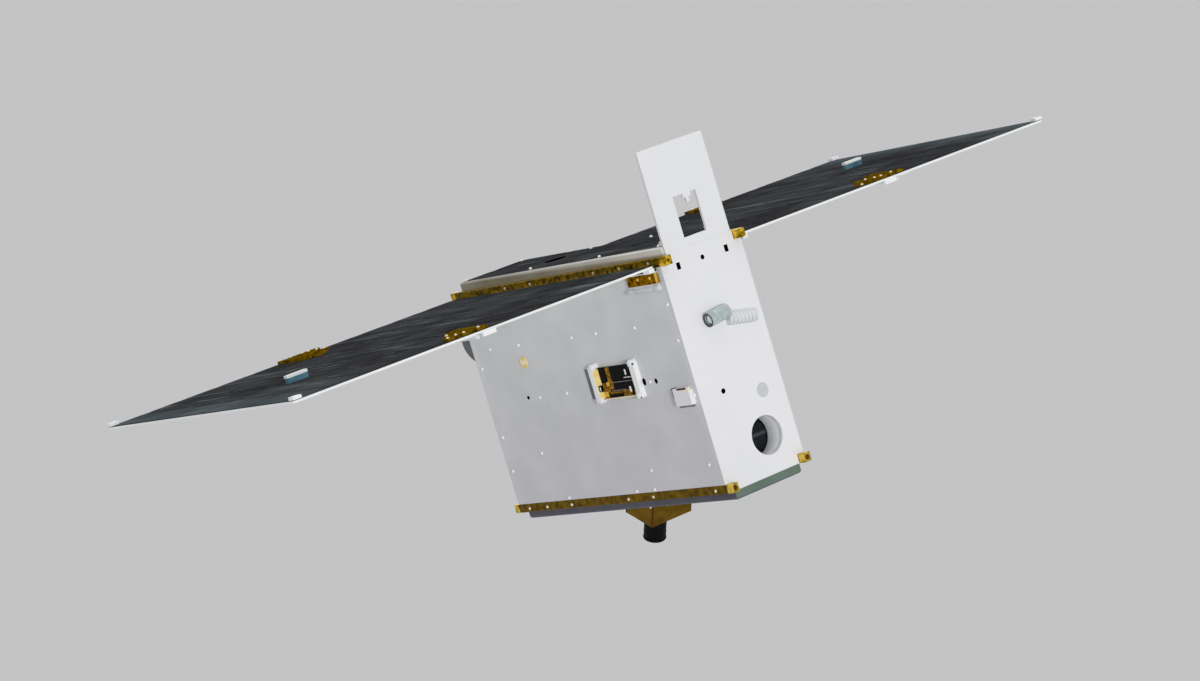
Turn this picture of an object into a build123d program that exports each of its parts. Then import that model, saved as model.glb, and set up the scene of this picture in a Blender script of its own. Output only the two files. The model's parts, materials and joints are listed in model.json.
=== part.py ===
from build123d import *
import os

# A folding-wing nanosatellite with its wings and its white flap spread, as it flies.
# X is the long way of the bus, Y its narrow way, Z points out of the face that the wings open from.
# The origin is the centre of the bus. Front is -Y and right is +X.

# Bus: four corner rails along X hold the end plates, the side panels and the decks
bus_length = 340.5
bus_width = 100.0
bus_height = 226.3
rail_side = 8.5
rail_round = 1.0
rail_overhang = 8.0
rail_screw_radius = 1.25
rail_screw_depth = 10.0
end_thick = 5.0
panel_thick = 2.5
deck_thick = 3.0
cap_proud = 7.7
under_proud = 8.6
cap_side_gap = 0.5
cap_chamfer = 1.5

half_width = bus_width / 2
half_height = bus_height / 2
end_face = bus_length / 2 - rail_overhang
inner_end_face = end_face - end_thick
between_rails = bus_width - 2 * rail_side
rail_gap_height = bus_height - 2 * rail_side
cap_width = between_rails - 2 * cap_side_gap
cap_top = half_height + cap_proud
under_face = half_height + under_proud

# Wings: two panels on each side, drawn for the front one and turned half round for the back one
wing_end_setback = 3.25
wing_root_gap = 5.0
wing_drop = 5.15
inner_length = 205.9
outer_length = 201.9
substrate_thick = 2.1
cell_thick = 0.5
panel_corner = 3.0
hinge_line_gap = 2.2
fold_gap = 5.0
cell_columns = 4
cell_rows = 5
cell_gap = 3.0
cell_border = 3.5
cell_chamfer = 4.0
wings = [("front", 0), ("back", 180)]

wing_chord = 2 * (end_face - wing_end_setback)
wing_root = half_width + wing_root_gap
hinge_line = wing_root + inner_length + hinge_line_gap / 2
outer_start = hinge_line + hinge_line_gap / 2
wing_tip = outer_start + outer_length
wing_top = half_height - wing_drop
substrate_top = wing_top - cell_thick
wing_bottom = substrate_top - substrate_thick
fold_axis_height = wing_bottom - fold_gap / 2
panels = [("inner", wing_root, inner_length), ("outer", outer_start, outer_length)]

# Root hinges: a block on the bus between two arms that hang from the wing's root edge
root_axis_gap = 3.2
root_axis_drop = 26.55
root_hinge_inset = 25.0
root_block_width = 30.0
root_block_depth = 4.4
root_block_drop = 11.35
knuckle_radius = 2.6
pin_radius = 1.0
pin_clearance = 0.06
arm_width = 7.0
arm_side_gap = 0.5
arm_face_gap = 1.4
arm_thick = 1.8

root_axis_out = half_width + root_axis_gap
root_axis_height = half_height - root_axis_drop
root_hinge_place = wing_chord / 2 - root_hinge_inset
root_block_top = half_height - root_block_drop
arm_inner_face = half_width + arm_face_gap

# Middle hinges: gold leaves, one short and one long and tapered at each end, and the pin under the panels
mid_hinge_inset = 26.0
mid_leaf_width = 46.0
mid_leaf_short = 12.0
mid_leaf_long = 33.0
mid_leaf_tip = 8.0
mid_leaf_shift = 2.0
mid_leaf_under = 13.5
mid_leaf_thick = 2.6
mid_leaf_under_thick = 1.0
mid_leaf_setback = 2.4
mid_knuckle_radius = 2.0
mid_knuckle_width = 11.0
mid_knuckle_gap = 0.4
tab_width = 2.8
tab_length = 15.0
tab_setback = 4.0
tab_gap = 1.2
mid_hinge_place = wing_chord / 2 - mid_hinge_inset

# Corner blocks at the wing tips, and the pillars that meet the seats on the bus when folded
corner_block_long = 8.0
corner_block_wide = 9.0
corner_block_tall = 3.0
module_proud = 5.8
pillar_place = (27.0, 372.0)
pillar_wide = 5.0
pillar_long = 22.0
pillar_gap = 0.9
pillar_cap = 1.0
folded_gap = root_axis_gap + wing_top - root_axis_height - 2 * (wing_top - wing_bottom) - fold_gap
pillar_tall = folded_gap - module_proud - pillar_gap

# Flap: a white plate that stands over the right end plate, hinged behind its foot
flap_width = 80.0
flap_height = 96.4
flap_foot_gap = 0.4
flap_thick = 2.5
flap_corner = 1.5
window_width = 28.0
window_height = 38.8
window_foot = 8.2
tooth_place = 2.6
tooth_width = 9.5
tooth_drop = 4.0
tooth_tip_width = 3.5
tooth_tip_drop = 8.5
flap_axis_back = 3.4
flap_axis_lift = 2.75
flap_knuckle_radius = 2.2
flap_hinge_place = 28.0
flap_hinge_width = 10.0
flap_lug_width = 5.0
flap_hinge_gap = 0.4
flap_bracket_reach = 7.0
flap_cap_gap = 0.6

flap_foot = half_height + flap_foot_gap
window_low = flap_foot + window_foot
window_high = window_low + window_height
flap_axis_height = cap_top + flap_axis_lift

# Right end plate: star camera hole, sun window, tube sensor and small holes
camera_side_inset = 36.0
camera_foot_inset = 36.5
camera_radius = 18.5
camera_wall = 1.5
camera_depth = 20.0
lens_thick = 2.5
lens_clearance = 0.1
sun_window_side_inset = 26.0
sun_window_foot_inset = 77.2
sun_window_radius = 7.0
sun_window_recess = 0.4
port_side_inset = 29.0
port_foot_inset = 90.0
port_radius = 2.5
top_slot_spread = 59.5
top_slot_inset = 13.7
top_slot_width = 4.5
top_slot_tall = 6.5
top_hole_radius = 2.3
tube_radius = 7.0
tube_wall = 1.2
tube_length = 24.0
tube_face_gap = 0.05
tube_side_inset = 41.6
tube_top_inset = 68.0
tube_droop = 5.8
ridge_side_inset = 27.3
ridge_top_inset = 77.6
ridge_radius = 6.4
ridge_length = 34.6
ridge_droop = 10.9
ridge_ribs = 8
ridge_rib_proud = 0.5
ridge_rib_share = 0.35

camera_place = (half_width - camera_side_inset, camera_foot_inset - half_height)
sun_window_place = (half_width - sun_window_side_inset, sun_window_foot_inset - half_height)
port_place = (port_side_inset - half_width, port_foot_inset - half_height)
top_slot_height = half_height - top_slot_inset
tube_y = tube_side_inset - half_width
tube_z = half_height - tube_top_inset

# Front panel: hold-down module, access box and antenna port; the back panel has a plain seat
module_place = (52.5, 4.7)
module_width = 69.5
module_height = 31.0
module_bar = 6.5
module_post = 8.0
module_post_over = 2.0
board_proud = 2.0
board_gap = 0.6
access_box_gap = 1.2
access_box_level = -17.0
access_box_width = 23.4
access_box_height = 16.5
access_box_proud = 5.0
access_box_notch = 5.0
antenna_port_inset = 77.9
antenna_port_top_inset = 78.0
antenna_port_radius = 5.5
antenna_port_bore = 3.2
antenna_port_proud = 1.2

access_box_place = (inner_end_face - access_box_gap - access_box_width / 2, access_box_level)
antenna_port_place = (antenna_port_inset - end_face, half_height - antenna_port_top_inset)

# Left end: a round thruster housing
drum_top_inset = 53.15
drum_radius = 31.0
drum_length = 41.0
drum_round = 1.5
drum_mouth_radius = 11.0
drum_mouth_depth = 14.0

# Underside: a camera in a gold box that leans towards the left end
payload_x = -4.6
payload_tilt = 28.0
housing_length = 37.0
housing_width = 51.0
housing_reach = 17.2
payload_lens_radius = 10.8
payload_lens_length = 27.0
payload_lens_side = 4.0
payload_lens_bore = 8.5
payload_lens_bore_depth = 6.0

# Heavy inner block: the flight electronics, batteries and tank as one mass
block_camera_gap = 2.25
block_gap = 0.3

# Handling holes in the under-plate
handling_end_inset = 22.25
handling_side_inset = 11.0
handling_radius = 1.65

os.makedirs("parts", exist_ok=True)


def save(piece, name):
    piece.part.label = name
    export_step(piece.part, f"parts/{name}.step")


# Rails
rail_sides = [("front", -1), ("back", 1)]
rail_levels = [("bottom", -1), ("top", 1)]
for side_name, side in rail_sides:
    for level_name, level in rail_levels:
        rail_y = side * (half_width - rail_side / 2)
        rail_z = level * (half_height - rail_side / 2)
        with BuildPart() as rail:
            with Locations((0, rail_y, rail_z)):
                Box(bus_length, rail_side, rail_side)
            outer_edge = rail.edges().filter_by(Axis.X).sort_by_distance(
                (0, side * half_width, level * half_height))[0]
            fillet(outer_edge, rail_round)
            for end in (-1, 1):
                with Locations(Location((end * bus_length / 2, rail_y, rail_z), (0, 90 * end, 0))):
                    Hole(rail_screw_radius, rail_screw_depth)
        save(rail, f"rail_{level_name}_{side_name}")

# Right end plate, with its holes
with BuildPart() as end_plate_right:
    with BuildSketch(Plane.YZ.offset(end_face)):
        Rectangle(bus_width, rail_gap_height)
        Rectangle(between_rails, bus_height)
        with Locations(camera_place):
            Circle(camera_radius, mode=Mode.SUBTRACT)
        with Locations(port_place):
            Circle(port_radius, mode=Mode.SUBTRACT)
        with Locations((0, top_slot_height)):
            Circle(top_hole_radius, mode=Mode.SUBTRACT)
            with GridLocations(top_slot_spread, 0, 2, 1):
                Rectangle(top_slot_width, top_slot_tall, mode=Mode.SUBTRACT)
    extrude(amount=-end_thick)
    with BuildSketch(Plane.YZ.offset(end_face)):
        with Locations(sun_window_place):
            Circle(sun_window_radius)
    extrude(amount=-end_thick / 2, mode=Mode.SUBTRACT)
save(end_plate_right, "end_plate_right")

with BuildPart() as end_plate_left:
    with BuildSketch(Plane.YZ.offset(-end_face)):
        Rectangle(bus_width, rail_gap_height)
        Rectangle(between_rails, bus_height)
    extrude(amount=end_thick)
save(end_plate_left, "end_plate_left")

# Side panels and decks lie between the end plates
inner_span = 2 * inner_end_face
for side_name, side in rail_sides:
    with BuildPart() as side_panel:
        with Locations((0, side * (half_width - panel_thick / 2), 0)):
            Box(inner_span, panel_thick, rail_gap_height)
    save(side_panel, f"side_panel_{side_name}")

for level_name, level in rail_levels:
    with BuildPart() as deck:
        with Locations((0, 0, level * (half_height - deck_thick / 2))):
            Box(inner_span, between_rails, deck_thick)
    save(deck, f"deck_{level_name}")

# Caps: the raised plates on the top and the underside, between the rails
flap_back = end_face - flap_thick
with BuildPart() as cell_plate:
    with Locations((-end_face, 0, half_height + cap_proud / 2)):
        Box(end_face + flap_back - flap_cap_gap, cap_width, cap_proud,
            align=(Align.MIN, Align.CENTER, Align.CENTER))
    chamfer(cell_plate.edges().group_by(Axis.Z)[-1], cap_chamfer)
save(cell_plate, "top_cell_plate")

with BuildPart() as under_plate:
    with Locations((0, 0, -half_height - under_proud / 2)):
        Box(2 * end_face, cap_width, under_proud)
    chamfer(under_plate.edges().group_by(Axis.Z)[0], cap_chamfer)
    with Locations(Location((0, 0, -under_face), (180, 0, 0))):
        with GridLocations(2 * (end_face - handling_end_inset), cap_width - 2 * handling_side_inset, 2, 2):
            Hole(handling_radius, under_proud)
save(under_plate, "under_plate")

block_length = 2 * (inner_end_face - camera_depth - block_camera_gap)
with BuildPart() as inner_block:
    Box(block_length, between_rails - 2 * block_gap, bus_height - 2 * deck_thick - 2 * block_gap)
save(inner_block, "avionics_block")

# Star camera: a barrel behind its hole, closed by a dark lens at the bottom
with BuildPart() as camera_barrel:
    with BuildSketch(Plane.YZ.offset(inner_end_face)):
        with Locations(camera_place):
            Circle(camera_radius + camera_wall)
            Circle(camera_radius, mode=Mode.SUBTRACT)
    extrude(amount=-camera_depth)
save(camera_barrel, "star_camera_barrel")

with BuildPart() as camera_lens:
    with BuildSketch(Plane.YZ.offset(inner_end_face - camera_depth)):
        with Locations(camera_place):
            Circle(camera_radius - lens_clearance)
    extrude(amount=lens_thick)
save(camera_lens, "star_camera_lens")

with BuildPart() as sun_window:
    with BuildSketch(Plane.YZ.offset(end_face - sun_window_recess)):
        with Locations(sun_window_place):
            Circle(sun_window_radius)
    extrude(amount=-(end_thick / 2 - sun_window_recess))
save(sun_window, "sun_window")

# Sensor seat: a half-round ribbed ridge on the right end plate
ridge_plane = Plane(
    origin=(end_face, half_width - ridge_side_inset, half_height - ridge_top_inset),
    z_dir=Vector(0, 1, 0).rotate(Axis.X, -ridge_droop),
)
rib_pitch = ridge_length / ridge_ribs
rib_thick = rib_pitch * ridge_rib_share
with BuildPart() as ridge:
    with BuildSketch(ridge_plane):
        Circle(ridge_radius)
    extrude(amount=ridge_length / 2, both=True)
    for rib in range(ridge_ribs):
        rib_place = (rib + 1 / 2) * rib_pitch - ridge_length / 2
        with BuildSketch(ridge_plane.offset(rib_place)):
            Circle(ridge_radius + ridge_rib_proud)
        extrude(amount=rib_thick / 2, both=True)
    split(bisect_by=Plane.YZ.offset(end_face), keep=Keep.TOP)
save(ridge, "sensor_seat")

# Tube sensor: an open tube that lies along the right end plate
tube_plane = Plane(
    origin=(end_face + tube_radius + tube_face_gap, tube_y, tube_z),
    z_dir=Vector(0, -1, 0).rotate(Axis.X, tube_droop),
)
with BuildPart() as tube:
    with BuildSketch(tube_plane):
        Circle(tube_radius)
    extrude(amount=tube_length / 2, both=True)
    with BuildSketch(tube_plane):
        Circle(tube_radius - tube_wall)
    extrude(amount=tube_length / 2, mode=Mode.SUBTRACT)
save(tube, "sensor_tube")

# Hold-down module on the front panel: a board between two bars with corner posts
front_face = Plane.XZ.offset(half_width)
with BuildPart() as module_board:
    with BuildSketch(front_face):
        with Locations(module_place):
            Rectangle(module_width - 2 * module_post - 2 * board_gap, module_height)
    extrude(amount=board_proud)
save(module_board, "hold_down_board")

with BuildPart() as module_frame:
    with BuildSketch(front_face):
        with Locations(module_place):
            with GridLocations(module_width - module_bar, 0, 2, 1):
                Rectangle(module_bar, module_height)
            with GridLocations(module_width - module_post, module_height, 2, 2):
                Rectangle(module_post, 2 * module_post_over)
    extrude(amount=module_proud)
save(module_frame, "hold_down_frame")

pillar_x, pillar_out = pillar_place
folded_pillar_height = root_axis_height - (2 * hinge_line - pillar_out - root_axis_out)
with BuildPart() as back_seat:
    with BuildSketch(Plane.XZ.offset(-half_width)):
        with Locations((-pillar_x, folded_pillar_height)):
            Rectangle(module_height, module_height)
    extrude(amount=-module_proud)
save(back_seat, "hold_down_seat_back")

with BuildPart() as access_box:
    with BuildSketch(front_face):
        with Locations(access_box_place):
            Rectangle(access_box_width, access_box_height)
            with Locations((access_box_width / 2, access_box_height / 2)):
                Rectangle(access_box_notch, access_box_notch, mode=Mode.SUBTRACT)
    extrude(amount=access_box_proud)
save(access_box, "access_box")

with BuildPart() as antenna_port:
    with BuildSketch(front_face):
        with Locations(antenna_port_place):
            Circle(antenna_port_radius)
            Circle(antenna_port_bore, mode=Mode.SUBTRACT)
    extrude(amount=antenna_port_proud)
save(antenna_port, "antenna_port")

# Thruster housing on the left end plate
drum_height = half_height - drum_top_inset
with BuildPart() as drum:
    with BuildSketch(Plane.YZ.offset(-end_face)):
        with Locations((0, drum_height)):
            Circle(drum_radius)
    extrude(amount=-drum_length)
    fillet(drum.edges().filter_by(GeomType.CIRCLE).sort_by(Axis.X)[0], drum_round)
    with BuildSketch(Plane.YZ.offset(-end_face - drum_length)):
        with Locations((0, drum_height)):
            Circle(drum_mouth_radius)
    extrude(amount=drum_mouth_depth, mode=Mode.SUBTRACT)
save(drum, "thruster_drum")

# Payload camera: its box is drawn from its lower face up and cut off where it meets the under-plate
payload_plane = Plane(
    origin=(payload_x, 0, -under_face),
    x_dir=(0, 1, 0),
    z_dir=Vector(0, 0, -1).rotate(Axis.Y, payload_tilt),
)
housing_face = payload_plane.offset(housing_reach)
with BuildPart() as housing:
    with BuildSketch(housing_face):
        Rectangle(housing_width, housing_length)
    extrude(amount=-housing_reach - housing_length)
    split(bisect_by=Plane.XY.offset(-under_face), keep=Keep.BOTTOM)
save(housing, "payload_housing")

with BuildPart() as payload_lens:
    with BuildSketch(housing_face):
        with Locations((-payload_lens_side, 0)):
            Circle(payload_lens_radius)
    extrude(amount=payload_lens_length)
    with BuildSketch(housing_face.offset(payload_lens_length)):
        with Locations((-payload_lens_side, 0)):
            Circle(payload_lens_bore)
    extrude(amount=-payload_lens_bore_depth, mode=Mode.SUBTRACT)
save(payload_lens, "payload_lens")

# Wings
cell_grid_x = wing_chord - 2 * cell_border + cell_gap
cell_pitch_x = cell_grid_x / cell_columns
arm_spread = root_block_width + arm_width + 2 * arm_side_gap
arm_height = wing_top - root_axis_height
arm_foot = wing_root - arm_inner_face
for wing_name, turn in wings:
    base = Plane.XY.rotated((0, 0, turn))

    with BuildPart(base) as root_block:
        with Locations((-root_hinge_place, 0, 0), (root_hinge_place, 0, 0)):
            with Locations((0, -half_width - root_block_depth / 2, (root_block_top + root_axis_height) / 2)):
                Box(root_block_width, root_block_depth, root_block_top - root_axis_height)
            with Locations(Location((0, -root_axis_out, root_axis_height), (0, 90, 0))):
                Cylinder(knuckle_radius, root_block_width)
            with Locations(Location((0, -root_axis_out, root_axis_height), (0, 90, 0))):
                Cylinder(pin_radius + pin_clearance, root_block_width, mode=Mode.SUBTRACT)
    save(root_block, f"root_block_{wing_name}")

    with BuildPart(base) as root_arm:
        with Locations((-root_hinge_place, 0, 0), (root_hinge_place, 0, 0)):
            with Locations((-arm_spread / 2, 0, 0), (arm_spread / 2, 0, 0)):
                with Locations((0, -arm_inner_face - arm_thick / 2, (wing_top + root_axis_height) / 2)):
                    Box(arm_width, arm_thick, arm_height)
                with Locations((0, -arm_inner_face - arm_foot / 2, (wing_top + wing_bottom) / 2)):
                    Box(arm_width, arm_foot, wing_top - wing_bottom)
                with Locations(Location((0, -root_axis_out, root_axis_height), (0, 90, 0))):
                    Cylinder(knuckle_radius, arm_width)
            with Locations(Location((0, -root_axis_out, root_axis_height), (0, 90, 0))):
                Cylinder(pin_radius, arm_spread)
    save(root_arm, f"root_arm_{wing_name}")

    for panel_name, start, length in panels:
        middle = -(start + length / 2)
        with BuildPart(base) as panel:
            with Locations((0, middle, (wing_bottom + substrate_top) / 2)):
                Box(wing_chord, length, substrate_thick)
            fillet(panel.edges().filter_by(Axis.Z), panel_corner)
        save(panel, f"{panel_name}_panel_{wing_name}")

        cell_pitch_y = (length - 2 * cell_border + cell_gap) / cell_rows
        with BuildPart(base) as cells:
            with Locations((0, middle, (substrate_top + wing_top) / 2)):
                with GridLocations(cell_pitch_x, cell_pitch_y, cell_columns, cell_rows):
                    Box(cell_pitch_x - cell_gap, cell_pitch_y - cell_gap, cell_thick)
            chamfer(cells.edges().filter_by(Axis.Z), cell_chamfer)
        save(cells, f"{panel_name}_cells_{wing_name}")

    # Middle hinges: the inner leaf has one knuckle, the outer leaf has two and the pin
    side_knuckle = (mid_leaf_width - mid_knuckle_width) / 2 - mid_knuckle_gap
    side_place = (mid_leaf_width - side_knuckle) / 2
    leaf_start = hinge_line_gap / 2
    under_length = mid_leaf_under - mid_leaf_setback
    neck_height = wing_bottom - fold_axis_height
    for panel_name, side, knuckles in [
        ("inner", 1, [(0, mid_knuckle_width)]),
        ("outer", -1, [(-side_place, side_knuckle), (side_place, side_knuckle)]),
    ]:
        with BuildPart(base) as mid_leaf:
            for end in (-1, 1):
                if end == side:
                    leaf_reach, tip_width = mid_leaf_short, mid_leaf_width
                else:
                    leaf_reach, tip_width = mid_leaf_long, mid_leaf_tip
                leaf_length = leaf_reach + side * mid_leaf_shift - leaf_start
                mid_axis = Location((end * mid_hinge_place, -hinge_line, fold_axis_height), (0, 90, 0))
                with Locations((end * mid_hinge_place, -hinge_line, 0)):
                    leaf_middle = (0, side * (leaf_start + leaf_length / 2), wing_top + mid_leaf_thick / 2)
                    with Locations(Location(leaf_middle, (0, 0, 90 - 90 * side))):
                        Wedge(mid_leaf_width, leaf_length, mid_leaf_thick, 0, 0, tip_width, mid_leaf_thick)
                    with Locations((0, side * (mid_leaf_setback + under_length / 2),
                                    wing_bottom - mid_leaf_under_thick / 2)):
                        Box(mid_leaf_width, under_length, mid_leaf_under_thick)
                for knuckle_x, knuckle_width in knuckles:
                    with Locations((end * mid_hinge_place + knuckle_x, 0, 0)):
                        with Locations(Location((0, -hinge_line, fold_axis_height), (0, 90, 0))):
                            Cylinder(mid_knuckle_radius, knuckle_width)
                        with Locations((0, side * mid_leaf_setback / 2 - hinge_line,
                                        fold_axis_height + neck_height / 2)):
                            Box(knuckle_width, mid_leaf_setback, neck_height)
                if panel_name == "inner":
                    with Locations(mid_axis):
                        Cylinder(pin_radius + pin_clearance, mid_knuckle_width, mode=Mode.SUBTRACT)
                else:
                    with Locations(mid_axis):
                        Cylinder(pin_radius, mid_leaf_width)
        save(mid_leaf, f"mid_hinge_{panel_name}_{wing_name}")

    # White tabs under the inner panel's ends, beside the middle hinges
    tab_tall = fold_gap - tab_gap
    with BuildPart(base) as tabs:
        with Locations((0, tab_setback + tab_length / 2 - hinge_line, wing_bottom - tab_tall / 2)):
            with GridLocations(wing_chord - tab_width, 0, 2, 1):
                Box(tab_width, tab_length, tab_tall)
    save(tabs, f"hinge_tabs_{wing_name}")

    with BuildPart(base) as corner_blocks:
        with Locations((0, -wing_tip + corner_block_wide / 2, wing_top + corner_block_tall / 2)):
            with GridLocations(wing_chord - corner_block_long, 0, 2, 1):
                Box(corner_block_long, corner_block_wide, corner_block_tall)
    save(corner_blocks, f"tip_blocks_{wing_name}")

    with BuildPart(base) as pillar:
        with Locations((pillar_x, -pillar_out, wing_top + pillar_tall / 2)):
            Box(pillar_wide, pillar_long, pillar_tall)
        chamfer(pillar.edges().group_by(Axis.Z)[-1], pillar_cap)
    save(pillar, f"hold_down_pillar_{wing_name}")

# Flap
with BuildPart() as flap:
    with BuildSketch(Plane.YZ.offset(end_face)):
        with Locations((0, flap_foot + flap_height / 2)):
            RectangleRounded(flap_width, flap_height, flap_corner)
        with Locations((0, (window_low + window_high) / 2)):
            Rectangle(window_width, window_high - window_low, mode=Mode.SUBTRACT)
        with Locations((tooth_place, window_high - tooth_drop / 2)):
            Rectangle(tooth_width, tooth_drop)
        with Locations((tooth_place, window_high - tooth_tip_drop / 2)):
            Rectangle(tooth_tip_width, tooth_tip_drop)
    extrude(amount=-flap_thick)
save(flap, "flap")

flap_axis_x = flap_back - flap_axis_back
flap_axis = Location((flap_axis_x, 0, flap_axis_height), (90, 0, 0))
hinge_places = [(0, -flap_hinge_place, 0), (0, flap_hinge_place, 0)]
lug_place = (flap_hinge_width + flap_lug_width) / 2 + flap_hinge_gap
with BuildPart() as flap_block:
    with Locations(*hinge_places):
        with Locations(flap_axis):
            Cylinder(flap_knuckle_radius, flap_hinge_width)
        with Locations((flap_axis_x, 0, (cap_top + flap_axis_height) / 2)):
            Box(flap_bracket_reach, flap_hinge_width, flap_axis_height - cap_top,
                align=(Align.MAX, Align.CENTER, Align.CENTER))
        with Locations(flap_axis):
            Cylinder(pin_radius + pin_clearance, flap_hinge_width, mode=Mode.SUBTRACT)
save(flap_block, "flap_hinge_blocks")

with BuildPart() as flap_lugs:
    with Locations(*hinge_places):
        with Locations((0, -lug_place, 0), (0, lug_place, 0)):
            with Locations(flap_axis):
                Cylinder(flap_knuckle_radius, flap_lug_width)
            with Locations((flap_axis_x, 0, flap_axis_height)):
                Box(flap_axis_back, flap_lug_width, 2 * flap_knuckle_radius,
                    align=(Align.MIN, Align.CENTER, Align.CENTER))
        with Locations(flap_axis):
            Cylinder(pin_radius, 2 * lug_place)
save(flap_lugs, "flap_hinge_lugs")
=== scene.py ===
import bpy
import bmesh
import json
import math
from mathutils import Matrix, Vector


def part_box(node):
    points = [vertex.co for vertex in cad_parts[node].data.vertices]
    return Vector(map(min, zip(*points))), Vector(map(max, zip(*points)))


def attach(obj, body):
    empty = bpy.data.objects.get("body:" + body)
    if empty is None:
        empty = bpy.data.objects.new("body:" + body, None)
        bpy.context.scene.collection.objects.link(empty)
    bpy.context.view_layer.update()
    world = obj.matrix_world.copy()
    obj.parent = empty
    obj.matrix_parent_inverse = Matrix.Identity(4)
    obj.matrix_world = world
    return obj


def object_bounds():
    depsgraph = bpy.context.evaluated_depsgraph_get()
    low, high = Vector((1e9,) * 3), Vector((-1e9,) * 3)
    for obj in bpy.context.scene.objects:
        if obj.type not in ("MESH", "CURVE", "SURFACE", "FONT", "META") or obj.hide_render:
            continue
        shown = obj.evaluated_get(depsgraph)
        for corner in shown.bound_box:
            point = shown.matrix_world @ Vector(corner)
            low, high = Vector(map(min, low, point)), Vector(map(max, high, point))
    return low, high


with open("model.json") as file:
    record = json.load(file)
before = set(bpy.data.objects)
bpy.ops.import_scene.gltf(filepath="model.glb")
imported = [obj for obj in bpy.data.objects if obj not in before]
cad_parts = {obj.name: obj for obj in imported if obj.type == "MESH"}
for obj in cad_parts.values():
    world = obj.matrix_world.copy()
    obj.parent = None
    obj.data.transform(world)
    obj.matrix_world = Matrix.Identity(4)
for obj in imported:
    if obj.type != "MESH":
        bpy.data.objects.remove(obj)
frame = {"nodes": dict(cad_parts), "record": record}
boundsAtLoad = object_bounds()
nodes = frame["nodes"]
print("frame loaded with", len(nodes), "nodes")


# Materials: one noise drives a surface's colour and roughness, a finer one its bump
noiseLook = {"darkAt": 0.35, "lightAt": 0.65, "roughFrom": 0.3, "roughTo": 0.7,
             "detail": 4, "bumpDetail": 2}
paintScale = {"full": 255, "gamma": 2.2}


def linear(rgb):
    return tuple((c / paintScale["full"]) ** paintScale["gamma"] for c in rgb) + (1.0,)


def startMaterial(name):
    material = bpy.data.materials.new(name)
    material.use_nodes = True
    tree = material.node_tree
    tree.nodes.clear()
    output = tree.nodes.new("ShaderNodeOutputMaterial")
    shader = tree.nodes.new("ShaderNodeBsdfPrincipled")
    tree.links.new(shader.outputs["BSDF"], output.inputs["Surface"])
    place = tree.nodes.new("ShaderNodeTexCoord").outputs["Object"]
    return material, tree, shader, place


def addNoise(tree, place, scale, detail=noiseLook["detail"], stretch=(1, 1, 1)):
    mapping = tree.nodes.new("ShaderNodeMapping")
    mapping.inputs["Scale"].default_value = stretch
    noise = tree.nodes.new("ShaderNodeTexNoise")
    noise.inputs["Scale"].default_value = scale
    noise.inputs["Detail"].default_value = detail
    tree.links.new(place, mapping.inputs["Vector"])
    tree.links.new(mapping.outputs["Vector"], noise.inputs["Vector"])
    return noise.outputs["Fac"]


def addRamp(tree, source, stops):
    ramp = tree.nodes.new("ShaderNodeValToRGB")
    while len(ramp.color_ramp.elements) < len(stops):
        ramp.color_ramp.elements.new(0.5)
    for element, (position, colour) in zip(ramp.color_ramp.elements, stops):
        element.position = position
        element.color = linear(colour)
    tree.links.new(source, ramp.inputs["Fac"])
    return ramp.outputs["Color"]


# A ramp from a dark to a light shade of one finish
def addShade(tree, noise, dark, light):
    return addRamp(tree, noise, [(noiseLook["darkAt"], dark), (noiseLook["lightAt"], light)])


def addRange(tree, source, fromLow, fromHigh, toLow, toHigh):
    spread = tree.nodes.new("ShaderNodeMapRange")
    spread.inputs["From Min"].default_value = fromLow
    spread.inputs["From Max"].default_value = fromHigh
    spread.inputs["To Min"].default_value = toLow
    spread.inputs["To Max"].default_value = toHigh
    tree.links.new(source, spread.inputs["Value"])
    return spread.outputs["Result"]


def addMath(tree, operation, source, other=None):
    made = tree.nodes.new("ShaderNodeMath")
    made.operation = operation
    tree.links.new(source, made.inputs[0])
    if isinstance(other, (int, float)):
        made.inputs[1].default_value = other
    elif other is not None:
        tree.links.new(other, made.inputs[1])
    return made.outputs["Value"]


def axisOf(tree, place, axis):
    split = tree.nodes.new("ShaderNodeSeparateXYZ")
    tree.links.new(place, split.inputs["Vector"])
    return split.outputs[axis]


def mixColours(tree, factor, first, second):
    mix = tree.nodes.new("ShaderNodeMix")
    mix.data_type = "RGBA"
    tree.links.new(factor, mix.inputs["Factor"])
    tree.links.new(first, mix.inputs["A"])
    tree.links.new(second, mix.inputs["B"])
    return mix.outputs["Result"]


def finishShader(tree, shader, place, colour, rough, roughSource, metal=0.0, grain=900, bump=0.1,
                 depth=0.0001, coat=0.0, specular=0.5, clear=0.0):
    tree.links.new(colour, shader.inputs["Base Color"])
    roughness = addRange(tree, roughSource, noiseLook["roughFrom"], noiseLook["roughTo"], *rough)
    tree.links.new(roughness, shader.inputs["Roughness"])
    shader.inputs["Metallic"].default_value = metal
    shader.inputs["Coat Weight"].default_value = coat
    shader.inputs["Specular IOR Level"].default_value = specular
    shader.inputs["Transmission Weight"].default_value = clear
    bumpNode = tree.nodes.new("ShaderNodeBump")
    bumpNode.inputs["Strength"].default_value = bump
    bumpNode.inputs["Distance"].default_value = depth
    tree.links.new(addNoise(tree, place, grain, noiseLook["bumpDetail"]), bumpNode.inputs["Height"])
    tree.links.new(bumpNode.outputs["Normal"], shader.inputs["Normal"])


def surface(name, dark, light, scale, rough, **look):
    material, tree, shader, place = startMaterial(name)
    noise = addNoise(tree, place, scale)
    finishShader(tree, shader, place, addShade(tree, noise, dark, light), rough, noise, **look)
    return material


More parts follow.
